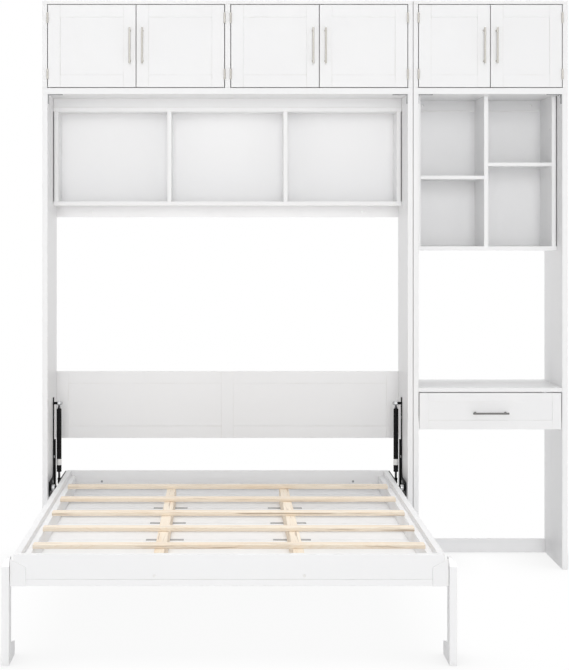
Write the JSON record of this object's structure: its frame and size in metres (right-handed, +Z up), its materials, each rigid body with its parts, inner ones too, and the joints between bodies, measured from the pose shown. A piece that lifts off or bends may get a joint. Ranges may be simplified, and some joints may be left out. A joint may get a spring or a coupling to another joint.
{
  "type": "wall bed with desk",
  "caption": "Full-size wall bed that folds down from a storage wall, with a fixed desk, drawer, open shelves and upper cabinets beside it.",
  "frame": {"origin": "on the floor under the centre of the object's box, with the bed down and resting on its legs", "axes": "+X to the right seen from the foot of the bed, +Y towards the wall behind the cabinet, +Z up"},
  "size_m": [2.216, 1.985, 2.402],
  "materials": {
    "white_paint": "satin white lacquer on board",
    "white_laminate": "plain white laminate on thin board",
    "pine": "bare planed pine",
    "black_steel": "black powder coat",
    "brushed_nickel": "brushed nickel",
    "zinc": "bright zinc plate"
  },
  "bodies": {
    "cabinet": {"bed_side_left": "white_paint", "bed_side_right": "white_paint", "desk_side_left": "white_paint", "desk_side_right": "white_paint", "base_rails": "white_paint", "head_panel": "white_paint", "apron_rail": "white_paint", "header_rail": "white_paint", "cubby_top": "white_paint", "cubby_bottom": "white_paint", "cubby_uprights": "white_paint", "cubby_back": "white_laminate", "wide_cabinet_boards": "white_paint", "wide_cabinet_uprights": "white_paint", "wide_cabinet_back": "white_laminate", "narrow_cabinet_boards": "white_paint", "narrow_cabinet_sides": "white_paint", "narrow_cabinet_back": "white_laminate", "hutch_bottom": "white_paint", "hutch_uprights": "white_paint", "hutch_shelves": "white_paint", "hutch_back": "white_paint", "desk_top": "white_paint", "drawer_runners": "zinc", "lift_plates": "black_steel", "strut_nuts": "zinc", "hinge_leaves": "brushed_nickel", "corner_brackets": "zinc", "screws": "zinc"},
    "bed": {"bed_side_rails": "white_paint", "bed_head_rail": "white_paint", "bed_foot_rail": "white_paint", "bed_face_boards": "white_paint", "slats": "pine", "slat_bearers": "pine", "slat_cleats": "white_paint", "corner_blocks": "white_paint", "lift_arms": "black_steel", "bed_bolts": "zinc"},
    "leg_left": {"leg_left": "white_paint"},
    "leg_right": {"leg_right": "white_paint"},
    "strut_tube_left": {"strut_cylinder_left": "black_steel"},
    "strut_tube_right": {"strut_cylinder_right": "black_steel"},
    "strut_shaft_left": {"strut_rod_left": "black_steel"},
    "strut_shaft_right": {"strut_rod_right": "black_steel"},
    "drawer": {"drawer_front": "white_paint", "drawer_box": "white_laminate", "drawer_handle": "brushed_nickel"},
    "door_leaf_1": {"door_1": "white_paint", "door_fittings_1": "brushed_nickel"},
    "door_leaf_2": {"door_2": "white_paint", "door_fittings_2": "brushed_nickel"},
    "door_leaf_3": {"door_3": "white_paint", "door_fittings_3": "brushed_nickel"},
    "door_leaf_4": {"door_4": "white_paint", "door_fittings_4": "brushed_nickel"},
    "door_leaf_5": {"door_5": "white_paint", "door_fittings_5": "brushed_nickel"},
    "door_leaf_6": {"door_6": "white_paint", "door_fittings_6": "brushed_nickel"}
  },
  "joints": [
    {"name": "bed_fold", "type": "hinge", "parent": "cabinet", "child": "bed", "pos_m": [-0.326, 0.6675, 0.335], "axis": [-1, 0, 0], "range_deg": [0, 90]},
    {"name": "leg_left_fold", "type": "hinge", "parent": "bed", "child": "leg_left", "pos_m": [-1.0645, -0.9465, 0.316], "axis": [1, 0, 0], "range_deg": [0, 90]},
    {"name": "leg_right_fold", "type": "hinge", "parent": "bed", "child": "leg_right", "pos_m": [0.4125, -0.9465, 0.316], "axis": [1, 0, 0], "range_deg": [0, 90]},
    {"name": "strut_left_turn", "type": "hinge", "parent": "cabinet", "child": "strut_tube_left", "pos_m": [-1.06, 0.8275, 0.678], "axis": [1, 0, 0], "range_deg": [-18.82, 0.5]},
    {"name": "strut_left_slide", "type": "slide", "parent": "strut_tube_left", "child": "strut_shaft_left", "axis": [0, 0.0146, -0.9999], "range_m": [-0.001, 0.19057]},
    {"name": "strut_right_turn", "type": "hinge", "parent": "cabinet", "child": "strut_tube_right", "pos_m": [0.408, 0.8275, 0.678], "axis": [1, 0, 0], "range_deg": [-18.82, 0.5]},
    {"name": "strut_right_slide", "type": "slide", "parent": "strut_tube_right", "child": "strut_shaft_right", "axis": [0, 0.0146, -0.9999], "range_m": [-0.001, 0.19057]},
    {"name": "door_1_hinge", "type": "hinge", "parent": "cabinet", "child": "door_leaf_1", "pos_m": [-1.0865, 0.5882, 2.21], "axis": [0, 0, -1], "range_deg": [0, 110]},
    {"name": "door_2_hinge", "type": "hinge", "parent": "cabinet", "child": "door_leaf_2", "pos_m": [-0.339, 0.5882, 2.21], "axis": [0, 0, 1], "range_deg": [0, 85]},
    {"name": "door_3_hinge", "type": "hinge", "parent": "cabinet", "child": "door_leaf_3", "pos_m": [-0.313, 0.5882, 2.21], "axis": [0, 0, -1], "range_deg": [0, 85]},
    {"name": "door_4_hinge", "type": "hinge", "parent": "cabinet", "child": "door_leaf_4", "pos_m": [0.4345, 0.5882, 2.21], "axis": [0, 0, 1], "range_deg": [0, 90]},
    {"name": "door_5_hinge", "type": "hinge", "parent": "cabinet", "child": "door_leaf_5", "pos_m": [0.4795, 0.5882, 2.21], "axis": [0, 0, -1], "range_deg": [0, 90]},
    {"name": "door_6_hinge", "type": "hinge", "parent": "cabinet", "child": "door_leaf_6", "pos_m": [1.0865, 0.5882, 2.21], "axis": [0, 0, 1], "range_deg": [0, 110]},
    {"name": "drawer_slide", "type": "slide", "parent": "cabinet", "child": "drawer", "axis": [0, -1, 0], "range_m": [0, 0.28]}
  ],
  "couplings": [
    {"joint": "strut_left_turn", "follows": "bed_fold", "ratio": -0.20353},
    {"joint": "strut_left_slide", "follows": "bed_fold", "m_per_rad": 0.12068},
    {"joint": "strut_right_turn", "follows": "bed_fold", "ratio": -0.20353},
    {"joint": "strut_right_slide", "follows": "bed_fold", "m_per_rad": 0.12068}
  ]
}
